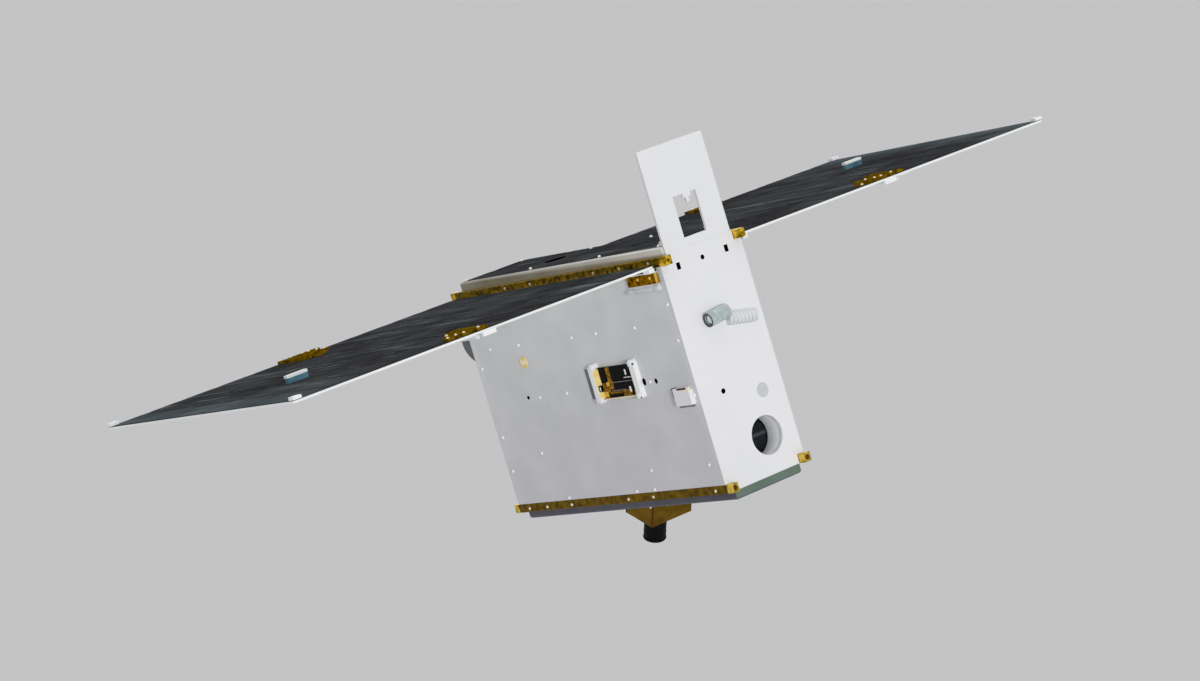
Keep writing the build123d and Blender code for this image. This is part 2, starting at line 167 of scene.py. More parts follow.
# Noise-shaded colours that take turns along one axis; each later zone starts at its edge, in metres
def zoned(name, axis, zones, scale, rough, mirrored=False, blend=0.0004, **look):
    material, tree, shader, place = startMaterial(name)
    noise = addNoise(tree, place, scale)
    along = axisOf(tree, place, axis)
    if mirrored:
        along = addMath(tree, "ABSOLUTE", along)
    colour = None
    for edge, dark, light in zones:
        shade = addShade(tree, noise, dark, light)
        if colour is None:
            colour = shade
        else:
            factor = addRange(tree, along, edge - blend / 2, edge + blend / 2, 0, 1)
            colour = mixColours(tree, factor, colour, shade)
    finishShader(tree, shader, place, colour, rough, noise, **look)
    return material


# Wing panels: white, but painted shade makes them dark on top and in the gap at the middle hinge
def wingPanelSurface(name, look):
    material, tree, shader, place = startMaterial(name)
    noise = addNoise(tree, place, look["scale"])
    pale = addShade(tree, noise, *look["pale"])
    dark = addShade(tree, noise, *look["dark"])
    onTop = addMath(tree, "GREATER_THAN", axisOf(tree, place, "Z"), look["topEdge"])
    out = addMath(tree, "ABSOLUTE", axisOf(tree, place, "Y"))
    offHinge = addMath(tree, "ABSOLUTE", addMath(tree, "SUBTRACT", out, look["hingeLine"]))
    nearHinge = addMath(tree, "LESS_THAN", offHinge, look["hingeReach"])
    offCentre = addMath(tree, "ABSOLUTE", axisOf(tree, place, "X"))
    inside = addMath(tree, "LESS_THAN", offCentre, look["halfChord"])
    paintedShadeMask = addMath(tree, "MAXIMUM", onTop, addMath(tree, "MULTIPLY", nearHinge, inside))
    finishShader(tree, shader, place, mixColours(tree, paintedShadeMask, pale, dark), look["rough"], noise,
                 specular=look["specular"])
    return material


# Solar cells: dark grey with sparse bluish streaks, a painted bluish reflection toward the wing tips, and
# thin silver lines
def cellSurface(name, look):
    material, tree, shader, place = startMaterial(name)
    patchNoise = addNoise(tree, place, look["patchScale"], look["patchDetail"])
    colour = addRamp(tree, patchNoise, look["patches"])
    streak = addRamp(tree, patchNoise, look["streaks"])
    for stretch, low, high, share in look["streakSets"]:
        factor = addRange(tree, addNoise(tree, place, 1, 1, stretch), low, high, 0, share)
        colour = mixColours(tree, factor, colour, streak)
    tipReflection = addRamp(tree, patchNoise, look["tipReflection"])
    out = addMath(tree, "ABSOLUTE", axisOf(tree, place, "Y"))
    tipReflectionMask = addRange(tree, out, *look["tipEdges"], 0, look["tipReflectionShare"])
    colour = mixColours(tree, tipReflectionMask, colour, tipReflection)
    turns = addMath(tree, "MULTIPLY", axisOf(tree, place, "X"), 1 / look["linePitch"])
    cycle = addMath(tree, "FRACT", turns)
    isLine = addMath(tree, "LESS_THAN", cycle, look["lineShare"])
    colour = mixColours(tree, isLine, colour, addRamp(tree, patchNoise, look["lines"]))
    finishShader(tree, shader, place, colour, look["rough"], patchNoise, grain=look["grain"],
                 bump=look["bump"], specular=look["specular"])
    return material


# Cap walls: a painted highlight brightens them toward the right end, and a painted shadow dulls them below
# a line that slants down to the right
def capSurface(name, look):
    material, tree, shader, place = startMaterial(name)
    noise = addNoise(tree, place, look["scale"])
    along = axisOf(tree, place, "X")
    upper = mixColours(tree, addRange(tree, along, *look["ends"], 0, 1),
                       addShade(tree, noise, *look["dim"]), addShade(tree, noise, *look["bright"]))
    line = addRange(tree, along, *look["ends"], *look["line"])
    underShadowLine = addMath(tree, "SUBTRACT", line, axisOf(tree, place, "Z"))
    factor = addRange(tree, underShadowLine, -look["blend"], look["blend"], 0, look["shadowShare"])
    colour = mixColours(tree, factor, upper, addShade(tree, noise, *look["low"]))
    finishShader(tree, shader, place, colour, look["rough"], noise, specular=look["specular"])
    return material


# White paint with a thin grey line between the ribs
def stripedSurface(name, look):
    material, tree, shader, place = startMaterial(name)
    noise = addNoise(tree, place, look["scale"])
    along = addMath(tree, "SUBTRACT", axisOf(tree, place, "Y"), look["start"])
    cycle = addMath(tree, "FRACT", addMath(tree, "MULTIPLY", along, 1 / look["pitch"]))
    isLine = addMath(tree, "LESS_THAN", cycle, look["share"])
    colour = mixColours(tree, isLine, addShade(tree, noise, *look["face"]),
                        addShade(tree, noise, *look["line"]))
    finishShader(tree, shader, place, colour, look["rough"], noise, specular=look["specular"])
    return material


# Star camera lens: near black, with one soft bluish streak across it, a painted reflection
def lensSurface(name, look):
    material, tree, shader, place = startMaterial(name)
    noise = addNoise(tree, place, look["scale"])
    dark = addShade(tree, noise, *look["dark"])
    streak = addShade(tree, noise, *look["streak"])
    above = addMath(tree, "SUBTRACT", axisOf(tree, place, "Z"), look["level"])
    offLine = addMath(tree, "ABSOLUTE", above)
    factor = addRange(tree, offLine, 0, look["reach"], look["strength"], 0)
    finishShader(tree, shader, place, mixColours(tree, factor, dark, streak), look["rough"], noise,
                 specular=look["specular"])
    return material


whitePaint = surface("white_paint", (233, 234, 236), (238, 238, 240), 9, (0.5, 0.65), specular=0.2)
# End plate: white, with painted shade on its side edges beyond 49.8 mm from the middle
endPlateShadedEdges = zoned("end_plate_shaded_edges", "Y", [
    (0, (233, 234, 236), (238, 238, 240)), (0.0498, (206, 207, 210), (216, 217, 220)),
], 9, (0.5, 0.65), mirrored=True, blend=0.0001, specular=0.2)
# Grey panel: lighter and a little greener toward the top; the lightening is painted light that offsets the
# shade under the wings
greyPanel = zoned("grey_panel", "Z", [
    (0, (207, 207, 212), (216, 215, 219)), (0.02, (213, 216, 215), (221, 224, 223)),
], 24, (0.55, 0.7), blend=0.16, grain=420, bump=0.35, specular=0.2)
underGrey = zoned("under_grey", "X", [
    (0, (86, 87, 97), (98, 99, 109)), (0.162, (96, 114, 102), (108, 126, 114)),
], 25, (0.5, 0.6), specular=0.2)
# Cap frame: the bright colour is a painted highlight and the low colour a painted shadow
capFrame = capSurface("cap_frame", {
    "scale": 30, "dim": ((166, 163, 152), (180, 177, 166)), "bright": ((234, 231, 224), (244, 241, 235)),
    "low": ((128, 122, 98), (150, 145, 122)), "ends": (-0.12, 0.15), "line": (0.1196, 0.1142),
    "blend": 0.0011, "shadowShare": 0.85, "rough": (0.5, 0.65), "specular": 0.2,
})
electronics = surface("electronics", (60, 62, 66), (84, 86, 90), 40, (0.5, 0.6))
# Grey for the access step and for the painted shadow sheets
stepAndShadowGrey = surface("step_and_shadow_grey", (112, 112, 117), (138, 138, 143), 50, (0.5, 0.6), specular=0.1)
cameraBlack = surface("camera_black", (8, 8, 9), (17, 17, 18), 60, (0.5, 0.6), specular=0.1)
holeBlack = surface("hole_black", (3, 3, 4), (8, 8, 9), 60, (0.7, 0.8), specular=0.0)
# Baffle grey: near white, painted light that lifts the shade inside the star camera barrel
baffleGrey = surface("baffle_grey", (238, 240, 242), (248, 249, 250), 60, (0.6, 0.7), specular=0.1)
lensGlass = surface("lens_glass", (8, 10, 14), (24, 26, 36), 40, (0.1, 0.2), coat=0.2, specular=0.3)
# Star glass: the streak colour is a painted reflection
starGlass = lensSurface("star_glass", {
    "scale": 60, "dark": ((24, 25, 29), (40, 42, 47)), "streak": ((84, 90, 104), (108, 114, 128)),
    "level": -0.0768, "reach": 0.0026, "strength": 0.5, "rough": (0.3, 0.4), "specular": 0.1,
})
windowGlass = surface("window_glass", (202, 206, 208), (211, 214, 217), 60, (0.2, 0.3))
whiteTrim = surface("white_trim", (240, 241, 243), (250, 250, 251), 40, (0.45, 0.6), specular=0.2)
dullTrim = surface("dull_trim", (168, 156, 116), (190, 178, 138), 60, (0.5, 0.6), specular=0.1)
creamTrim = surface("cream_trim", (240, 226, 190), (250, 240, 214), 60, (0.45, 0.6), specular=0.2)
circuitBoard = surface("circuit_board", (12, 10, 8), (34, 26, 14), 120, (0.45, 0.6), specular=0.1)
traceGold = surface("trace_gold", (96, 66, 10), (176, 128, 26), 260, (0.4, 0.55), specular=0.1)
paleGold = surface("pale_gold", (238, 206, 112), (250, 228, 152), 120, (0.4, 0.55), specular=0.2)
# Rail finishes: the rail ends, beyond 163.2 mm either side of the middle, carry a painted highlight
goldRail = zoned("gold_rail", "X", [
    (0, (92, 68, 8), (136, 108, 22)), (0.1632, (158, 132, 26), (252, 220, 104)),
], 190, (0.4, 0.55), mirrored=True, metal=1.0)
topRail = zoned("top_rail", "X", [
    (0, (78, 62, 8), (160, 130, 20)), (0.1632, (110, 88, 6), (250, 206, 60)),
], 230, (0.4, 0.55), mirrored=True, metal=1.0)
hingeGold = zoned("hinge_gold", "Z", [
    (0, (222, 223, 225), (232, 233, 234)), (0.1053, (66, 50, 8), (140, 108, 16)),
], 200, (0.4, 0.5), grain=500, bump=0.3, depth=0.0003, specular=0.0)
goldBracket = zoned("gold_bracket", "Z", [
    (0, (211, 213, 214), (219, 221, 222)), (0.0907, (74, 44, 6), (166, 122, 16)),
    (0.1005, (226, 227, 229), (236, 237, 238)), (0.1016, (58, 50, 24), (84, 74, 36)),
], 260, (0.4, 0.5), grain=500, bump=0.3, depth=0.0003, specular=0.0)
brightGold = surface("bright_gold", (214, 166, 34), (246, 206, 92), 160, (0.4, 0.5), specular=0.2)
darkGold = surface("dark_gold", (66, 34, 4), (92, 56, 10), 120, (0.4, 0.5), specular=0.1)
goldFoil = surface("gold_foil", (104, 80, 12), (134, 104, 26), 90, (0.4, 0.5), metal=1.0,
                   grain=160, bump=0.4, depth=0.0006)
# Drum metal: a darker grey, painted shade for the shadow the drum lies in
drumMetal = surface("drum_metal", (102, 103, 104), (120, 121, 122), 40, (0.4, 0.55), specular=0.2)
# Wing frame: the dark colour is painted shade
wingFrame = wingPanelSurface("wing_frame", {
    "scale": 30, "pale": [(238, 241, 240), (247, 249, 248)], "dark": [(74, 76, 78), (88, 90, 92)],
    "topEdge": 0.10746, "hingeLine": 0.262, "hingeReach": 0.0035, "halfChord": 0.1587,
    "rough": (0.5, 0.6), "specular": 0.0,
})
pillarBlue = zoned("pillar_blue", "Z", [
    (0, (66, 106, 122), (90, 132, 148)), (0.1128, (234, 240, 242), (246, 248, 249)),
], 90, (0.5, 0.6), specular=0.2)
ridgePaint = stripedSurface("ridge_paint", {
    "scale": 60, "face": ((222, 224, 226), (229, 231, 233)), "line": ((196, 199, 202), (206, 209, 212)),
    "start": 0.0054, "pitch": 0.004325, "share": 0.22,
    "rough": (0.5, 0.6), "specular": 0.1,
})
clearTube = surface("clear_tube", (178, 194, 193), (212, 224, 223), 160, (0.12, 0.2), clear=0.12)
tubeLine = surface("tube_line", (130, 146, 145), (150, 164, 162), 90, (0.3, 0.4), specular=0.2)
cellBase = surface("cell_base", (54, 56, 58), (68, 70, 72), 60, (0.5, 0.6), specular=0.0)
solarCell = cellSurface("solar_cell", {
    "patchScale": 14, "patchDetail": 2, "patches": [(0.4, (58, 58, 60)), (0.62, (72, 73, 75))],
    "streaks": [(0.4, (92, 100, 104)), (0.6, (122, 132, 137))],
    "streakSets": [((8, 70, 1), 0.60, 0.70, 0.5), ((4, 34, 1), 0.57, 0.72, 0.3),
                   ((14, 140, 1), 0.68, 0.73, 0.7)],
    "tipReflection": [(0.4, (92, 104, 108)), (0.6, (106, 118, 122))], "tipEdges": (0.40, 0.47), "tipReflectionShare": 0.75,
    "rough": (0.35, 0.5), "grain": 700, "bump": 0.1, "specular": 0.0,
    "linePitch": 0.0132, "lineShare": 0.03, "lines": [(0.4, (100, 106, 110)), (0.6, (118, 124, 128))],
})

finishes = {
    "gold_rail": goldRail, "white_paint": whitePaint, "grey_panel": greyPanel, "under_grey": underGrey,
    "cap_frame": capFrame, "electronics": electronics, "camera_black": cameraBlack,
    "lens_glass": lensGlass, "window_glass": windowGlass, "clear_tube": clearTube,
    "white_trim": whiteTrim, "circuit_board": circuitBoard, "gold_fitting": hingeGold,
    "drum_metal": drumMetal, "gold_foil": goldFoil, "wing_frame": wingFrame,
    "solar_cell": solarCell, "pillar_blue": pillarBlue,
}
ownFinishes = {
    "star_camera_barrel": baffleGrey, "star_camera_lens": starGlass, "end_plate_right": endPlateShadedEdges,
    "root_block_front": goldBracket, "root_block_back": goldBracket, "root_arm_front": goldBracket,
    "root_arm_back": goldBracket, "antenna_port": paleGold, "rail_top_front": topRail,
    "rail_top_back": topRail, "access_box": whitePaint, "sensor_seat": ridgePaint,
}
slotOfNode = {entry["node"]: entry["material_slot"] for entry in frame["record"]["subparts"]}
softEdge = {"weld": 0.00001, "width": 0.0003, "steps": 2, "angle": 40}
for nodeName, node in nodes.items():
    node.data.materials.clear()
    node.data.materials.append(ownFinishes.get(nodeName, finishes[slotOfNode[nodeName]]))
    weld = node.modifiers.new("weld", "WELD")
    weld.merge_threshold = softEdge["weld"]
    bevel = node.modifiers.new("bevel", "BEVEL")
    bevel.width = softEdge["width"]
    bevel.segments = softEdge["steps"]
    bevel.limit_method = "ANGLE"
    bevel.angle_limit = math.radians(softEdge["angle"])
print("finishes set on", len(nodes), "nodes")

# Camera at the photo's view
cameraLook = {
    "place": (2.88076, -2.17586, 0.42727), "forward": (-0.79581, 0.596015, -0.107017),
    "up": (0.08941, 0.290444, 0.952706), "lens": 114.409, "sensor": 36.0, "clip": (0.05, 200),
}
cameraData = bpy.data.cameras.new("camera")
cameraData.lens = cameraLook["lens"]
cameraData.sensor_width = cameraLook["sensor"]
cameraData.clip_start, cameraData.clip_end = cameraLook["clip"]
camera = bpy.data.objects.new("camera", cameraData)
bpy.context.scene.collection.objects.link(camera)
back = -Vector(cameraLook["forward"]).normalized()
side = Vector(cameraLook["up"]).cross(back).normalized()
turned = Matrix((side, back.cross(side), back)).transposed().to_4x4()
camera.matrix_world = Matrix.Translation(Vector(cameraLook["place"])) @ turned
bpy.context.scene.camera = camera

# Pale floor well below the floating object
floorLook = {"drop": 0.55, "reach": 90.0}
floorShape = bmesh.new()
bmesh.ops.create_grid(floorShape, x_segments=1, y_segments=1, size=floorLook["reach"])
floorData = bpy.data.meshes.new("floor")
floorShape.to_mesh(floorData)
floorShape.free()
floor = bpy.data.objects.new("floor", floorData)
floor.location = (0, 0, boundsAtLoad[0].z - floorLook["drop"])
bpy.context.scene.collection.objects.link(floor)
floorData.materials.append(surface("floor_paint", (224, 224, 225), (226, 226, 227), 60, (0.8, 0.9),
                                   bump=0.02, specular=0.0))

# Soft studio light: a broad key from the right front, soft light from above and behind, an even pale room
lamps = [
    {"name": "key", "from": (0.90, -0.37, 0.03), "strength": 1.63, "spread": 8},
    {"name": "above", "from": (0.05, 0.05, 1.0), "strength": 0.80, "spread": 60},
    {"name": "behind", "from": (-0.70, 0.70, 0.14), "strength": 0.90, "spread": 50},
]
for lamp in lamps:
    lightData = bpy.data.lights.new(lamp["name"], "SUN")
    lightData.energy = lamp["strength"]
    lightData.angle = math.radians(lamp["spread"])
    light = bpy.data.objects.new(lamp["name"], lightData)
    light.rotation_mode = "QUATERNION"
    light.rotation_quaternion = (-Vector(lamp["from"])).to_track_quat("-Z", "Y")
    bpy.context.scene.collection.objects.link(light)
roomLook = {"colour": (0.40, 0.40, 0.404), "backdrop": (0.551, 0.552, 0.558)}
world = bpy.data.worlds.new("studio")
bpy.context.scene.world = world
world.use_nodes = True
roomTree = world.node_tree
room = roomTree.nodes["Background"]
room.inputs["Color"].default_value = roomLook["colour"] + (1,)
backdrop = roomTree.nodes.new("ShaderNodeBackground")
backdrop.inputs["Color"].default_value = roomLook["backdrop"] + (1,)
rays = roomTree.nodes.new("ShaderNodeLightPath").outputs
seen = rays["Is Camera Ray"]
for rayKind in ("Is Glossy Ray", "Is Transmission Ray"):  # metal and glass show the backdrop too
    seen = addMath(roomTree, "MAXIMUM", seen, rays[rayKind])
chooser = roomTree.nodes.new("ShaderNodeMixShader")
roomTree.links.new(seen, chooser.inputs["Fac"])
roomTree.links.new(room.outputs["Background"], chooser.inputs[1])
roomTree.links.new(backdrop.outputs["Background"], chooser.inputs[2])
roomTree.links.new(chooser.outputs["Shader"], roomTree.nodes["World Output"].inputs["Surface"])
bpy.context.scene.view_settings.view_transform = "Standard"
print("camera, floor and lights set")


# Shape helpers work in millimetres and newPiece turns them into metres
pieceLook = {"toMetres": 0.001, "toMillimetres": 1000, "sharpAngle": 38, "edgeAngle": 45,
             "edgeSteps": 2, "soften": 0.15}


def newPiece(name, shape, material, body, soften=pieceLook["soften"]):
    bmesh.ops.recalc_face_normals(shape, faces=shape.faces)
    bmesh.ops.scale(shape, verts=shape.verts, vec=[pieceLook["toMetres"]] * 3)
    data = bpy.data.meshes.new(name)
    shape.to_mesh(data)
    shape.free()
    data.shade_smooth()
    data.set_sharp_from_angle(angle=math.radians(pieceLook["sharpAngle"]))
    data.materials.append(material)
    piece = bpy.data.objects.new(name, data)
    bpy.context.scene.collection.objects.link(piece)
    if soften:
        bevel = piece.modifiers.new("bevel", "BEVEL")
        bevel.width = soften / pieceLook["toMillimetres"]
        bevel.segments = pieceLook["edgeSteps"]
        bevel.limit_method = "ANGLE"
        bevel.angle_limit = math.radians(pieceLook["edgeAngle"])
    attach(piece, body)
    return piece


def addBlock(shape, low, high):
    low, high = Vector(low), Vector(high)
    made = bmesh.ops.create_cube(shape, size=1)
    bmesh.ops.scale(shape, verts=made["verts"], vec=[abs(v) for v in high - low])
    bmesh.ops.translate(shape, verts=made["verts"], vec=(high + low) / 2)


# A block given by its low x, high x, low z and high z, as seen from the front
def addFrontBlock(shape, place, lowY, highY):
    lowX, highX, lowZ, highZ = place
    addBlock(shape, (lowX, lowY, lowZ), (highX, highY, highZ))


# A solid between two outlines of the same number of points
def addSolid(shape, lower, upper):
    lowVerts = [shape.verts.new(point) for point in lower]
    highVerts = [shape.verts.new(point) for point in upper]
    count = len(lowVerts)
    shape.faces.new(lowVerts)
    shape.faces.new(highVerts)
    for step in range(count):
        follow = (step + 1) % count
        shape.faces.new((lowVerts[step], lowVerts[follow], highVerts[follow], highVerts[step]))


# A flat outline in x and y made into a sheet between two heights
def addSheet(shape, outline, lowZ, highZ):
    addSolid(shape, [Vector((x, y, lowZ)) for x, y in outline], [Vector((x, y, highZ)) for x, y in outline])


def circle(centre, facing, radius, steps):
    turn = Vector(facing).normalized().to_track_quat("Z", "X").to_matrix()
    angles = [2 * math.pi * step / steps for step in range(steps)]
    return [Vector(centre) + turn @ Vector((radius * math.cos(angle), radius * math.sin(angle), 0))
            for angle in angles]


def addDisc(shape, centre, facing, radius, height, steps=24, topShare=1.0):
    top = Vector(centre) + Vector(facing).normalized() * height
    addSolid(shape, circle(centre, facing, radius, steps), circle(top, facing, radius * topShare, steps))


# Two rows of points joined by a band of faces
def joinRows(shape, lower, upper):
    count = len(lower)
    for step in range(count):
        follow = (step + 1) % count
        shape.faces.new((lower[step], lower[follow], upper[follow], upper[step]))


# A round-head bolt: a low dome, each row a share of the radius and of the height
boltLook = {"steps": 16, "rows": [(1, 0), (0.96, 0.45), (0.74, 0.82), (0.38, 0.98)]}


def addBolt(shape, centre, facing, radius, height):
    facing = Vector(facing).normalized()
    steps = boltLook["steps"]
    rows = []
    for wide, high in boltLook["rows"]:
        middle = Vector(centre) + facing * height * high
        rows.append([shape.verts.new(p) for p in circle(middle, facing, radius * wide, steps)])
    peak = shape.verts.new(Vector(centre) + facing * height)
    for lower, upper in zip(rows, rows[1:]):
        joinRows(shape, lower, upper)
    for step in range(steps):
        shape.faces.new((rows[-1][step], rows[-1][(step + 1) % steps], peak))
    shape.faces.new(rows[0])


def addRing(shape, centre, facing, outer, inner, height, steps=40):
    facing = Vector(facing).normalized()
    top = Vector(centre) + facing * height
    rows = [[shape.verts.new(p) for p in circle(middle, facing, radius, steps)]
            for middle, radius in [(centre, outer), (top, outer), (top, inner), (centre, inner)]]
    for lower, upper in zip(rows, rows[1:] + rows[:1]):
        joinRows(shape, lower, upper)


# A square bar from one point to another
def addBar(shape, start, end, width, height, outward):
    start, end = Vector(start), Vector(end)
    across = (end - start).cross(Vector(outward)).normalized() * width / 2
    rise = across.cross(end - start).normalized() * height / 2
    section = [across + rise, across - rise, -across - rise, -across + rise]
    addSolid(shape, [start + point for point in section], [end + point for point in section])


# One piece made of equal bolts; every place is a centre and the way it faces
def placeBolts(name, places, radius, height, material, body="bus"):
    shape = bmesh.new()
    for centre, facing in places:
        addBolt(shape, centre, facing, radius, height)
    newPiece(name, shape, material, body, 0)


def corners(nodeName):
    low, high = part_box(nodeName)
    return Vector(low) * pieceLook["toMillimetres"], Vector(high) * pieceLook["toMillimetres"]


sideFace = corners("side_panel_back")[1].y
endFace = corners("end_plate_right")[1].x
plateTop = corners("end_plate_right")[1].z
capLow, capHigh = corners("top_cell_plate")
capTop = capHigh.z
underLow, underHigh = corners("under_plate")
underFace = underLow.z
wingTop = corners("inner_cells_front")[1].z
railSide = corners("rail_top_back")[1].y

# Dome bolts and dark holes on the front panel; the back panel has bolts of its own
panelBolts = {
    "radius": 1.6, "height": 1.3,
    "front": [
        (-132.8, 52.7), (-85.1, 52.8), (0.5, 52.2), (38.9, 52.7), (98.7, 52.4), (156.2, 69.1),
        (156.2, 34.7), (-154.8, 34.7), (-75.9, -0.7), (-32.1, -0.2), (98.4, 0.2), (-154.8, -35.7),
        (-99.5, -55.6), (-154.8, -70.6), (-77.2, -102.4), (30.3, -102.4), (57.8, -102.4),
        (61.2, -83.7), (151.0, -19.0), (148.0, -84.0),
    ],
    "back": [
        (-154.8, 80.0), (-154.8, 0.0), (-154.8, -80.0), (154.8, 80.0), (154.8, 0.0), (154.8, -80.0),
        (-75.0, -102.4), (0.0, -102.4), (75.0, -102.4), (-75.0, 98.0), (0.0, 98.0), (75.0, 98.0),
        (-60.0, 20.0), (60.0, 20.0), (60.0, -50.0), (-60.0, -50.0),
    ],
}
placeBolts("panel_bolts", [((x, facing * sideFace, z), (0, facing, 0))
                           for facing, side in ((-1, "front"), (1, "back")) for x, z in panelBolts[side]],
           panelBolts["radius"], panelBolts["height"], whiteTrim)
# Black discs stand for the holes: painted shade of their insides
# Each hole is x, z, half its width and its height as a share of its width
panelHoles = {"steps": 24, "proud": 0.12,
              "places": [(-94.4, 0.4, 1.9, 1.0), (89.6, 0.9, 2.4, 1.5), (107.3, 0.2, 2.0, 1.3)]}
shape = bmesh.new()
for placeX, placeZ, radius, tallShare in panelHoles["places"]:
    angles = [2 * math.pi * step / panelHoles["steps"] for step in range(panelHoles["steps"])]
    outline = [(placeX + radius * math.cos(angle), placeZ + tallShare * radius * math.sin(angle))
               for angle in angles]
    addSolid(shape, [Vector((x, -sideFace, z)) for x, z in outline],
             [Vector((x, -sideFace - panelHoles["proud"], z)) for x, z in outline])
newPiece("panel_holes", shape, holeBlack, "bus", 0)

# Bolts along the rails, cream below and duller above
railBolts = {
    "radius": 1.45, "height": 1.0, "level": 109.4,
    "bottom": [-145.8, -116.5, -76.3, 14.1, 52.5, 146.1], "top": [-79.8, -38.8, 61.6, 101.8, 145.4],
}
for pieceName, level, key, finish in [
    ("rail_bolts_low", -1, "bottom", creamTrim), ("rail_bolts_high", 1, "top", dullTrim),
]:
    placeBolts(pieceName, [((-facing * x, facing * railSide, level * railBolts["level"]), (0, facing, 0))
                           for facing in (-1, 1) for x in railBolts[key]],
               railBolts["radius"], railBolts["height"], finish)

# White bolt inside the gold antenna port
port = {"place": (-84.35, 35.15), "radius": 3.0, "height": 0.9}
placeBolts("antenna_port_plug", [((port["place"][0], -sideFace, port["place"][1]), (0, -1, 0))],
           port["radius"], port["height"], whiteTrim)

# Hold-down module: blocks on the board are low x, high x, low z, high z and how far they stand out
frameFront = corners("hold_down_frame")[0]
boardFront = corners("hold_down_board")[0]
module = {
    "gold": [(39.2, 46.0, 5.0, 19.8, 0.5), (29.0, 46.0, -1.5, 5.0, 0.5), (28.6, 38.5, -10.0, -1.5, 0.5),
             (57.5, 78.3, -9.4, -3.4, 0.5), (45.5, 62.0, -7.6, -4.2, 0.4), (36.0, 45.5, -10.0, -4.0, 0.5)],
    "bright": [(36.2, 40.0, 1.6, 6.0, 0.9), (28.8, 34.5, -8.4, -3.4, 0.8), (76.0, 78.4, -8.6, -5.0, 1.2)],
    "line": [(47.0, 77.6, 4.1, 5.1, 0.7), (41.0, 62.0, -3.6, -2.7, 0.7)],
    "chip": [(30.6, 38.6, 5.6, 19.8, 1.3), (46.6, 78.2, 6.0, 19.8, 1.3), (46.6, 78.2, -2.2, 3.4, 1.2),
             (38.8, 57.4, -9.8, -6.2, 1.1), (25.4, 29.2, -2.6, 3.6, 3.0), (71.9, 76.0, -9.0, -1.6, 1.0)],
    "white": [(69.4, 71.0, 10.6, 16.0, 1.9), (70.0, 71.8, -5.8, -0.6, 1.9), (27.7, 28.7, -1.6, 2.4, 3.4)],
    "strip": [(66.0, 76.6, 7.8, 8.8, 1.9)],
    "lip": [(30.0, 76.0, -10.8, -9.6, 2.6)],
    "edge": [(80.2, 81.6, -7.0, 18.0, 3.6)],
    "sink": 0.2,
}
for pieceName, key, material, slotName in [
    ("module_gold", "gold", traceGold, "gold_fitting"),
    ("module_bright", "bright", brightGold, "gold_fitting"),
    ("module_lines", "line", drumMetal, "drum_metal"),
    ("module_chips", "chip", cameraBlack, "camera_black"),
    ("module_parts", "white", whiteTrim, "white_trim"),
    ("module_strip", "strip", windowGlass, "window_glass"),
    ("module_lip", "lip", creamTrim, "white_trim"),
    ("module_edge", "edge", creamTrim, "white_trim"),
]:
    shape = bmesh.new()
    for *place, proud in module[key]:
        addFrontBlock(shape, place, boardFront.y - proud, boardFront.y + module["sink"])
    newPiece(pieceName, shape, material, "bus")

# Gold slope inside the module's left frame bar
slope = {"beside": 2.1, "belowFrame": 0.2, "footX": 28.6, "overlap": 0.1, "low": -9.4, "high": 19.4}
shape = bmesh.new()
slopeHead = boardFront.x - slope["beside"]
profile = [(slopeHead, frameFront.y + slope["belowFrame"]), (slopeHead, boardFront.y + slope["overlap"]),
           (slope["footX"], boardFront.y - slope["overlap"])]
addSolid(shape, [Vector((x, y, slope["low"])) for x, y in profile],
         [Vector((x, y, slope["high"])) for x, y in profile])
newPiece("module_slope", shape, paleGold, "bus", 0)

# Rounded posts at the frame's corners; the second stays low, clear of the folded wing's pillar
posts = {"radius": 3.4, "foot": 6.0,
         "places": [(24.0, 21.6, 1.4), (23.0, -10.2, 0.6), (83.2, 21.2, 1.4), (83.0, -10.0, 1.4)]}
shape = bmesh.new()
for placeX, placeZ, height in posts["places"]:
    addBolt(shape, (placeX, frameFront.y, placeZ), (0, -1, 0), posts["radius"], height)
    addDisc(shape, (placeX, frameFront.y + posts["foot"], placeZ), (0, -1, 0), posts["radius"],
            posts["foot"])
newPiece("module_posts", shape, whiteTrim, "bus", 0)

# Small dark clips on the module's frame
clips = {"proud": 0.3, "sink": 1.5,
         "places": [(79.4, 81.6, 22.4, 24.4), (86.0, 87.4, 19.2, 21.0), (85.0, 87.0, -13.0, -11.2)]}
shape = bmesh.new()
for place in clips["places"]:
    addFrontBlock(shape, place, frameFront.y - clips["proud"], frameFront.y + clips["sink"])
newPiece("module_clips", shape, electronics, "bus")

# Painted shadow: thin grey sheets left of the module, above it, and left of and below the access box
shadowSheet = {"proud": 0.15, "sink": 0.1, "places": [
    (frameFront.x - 12.5, frameFront.x + 1, -9.4, 20.2), (125.4, 134.0, -17.6, -8.6),
    (72.4, 79.6, 17.8, 22.0), (129.8, 134.0, -23.6, -8.0), (130.6, 153.0, -28.0, -25.0),
]}
shape = bmesh.new()
for place in shadowSheet["places"]:
    addFrontBlock(shape, place, -sideFace - shadowSheet["proud"], -sideFace + shadowSheet["sink"])
newPiece("front_shadow_sheets", shape, stepAndShadowGrey, "bus", 0)

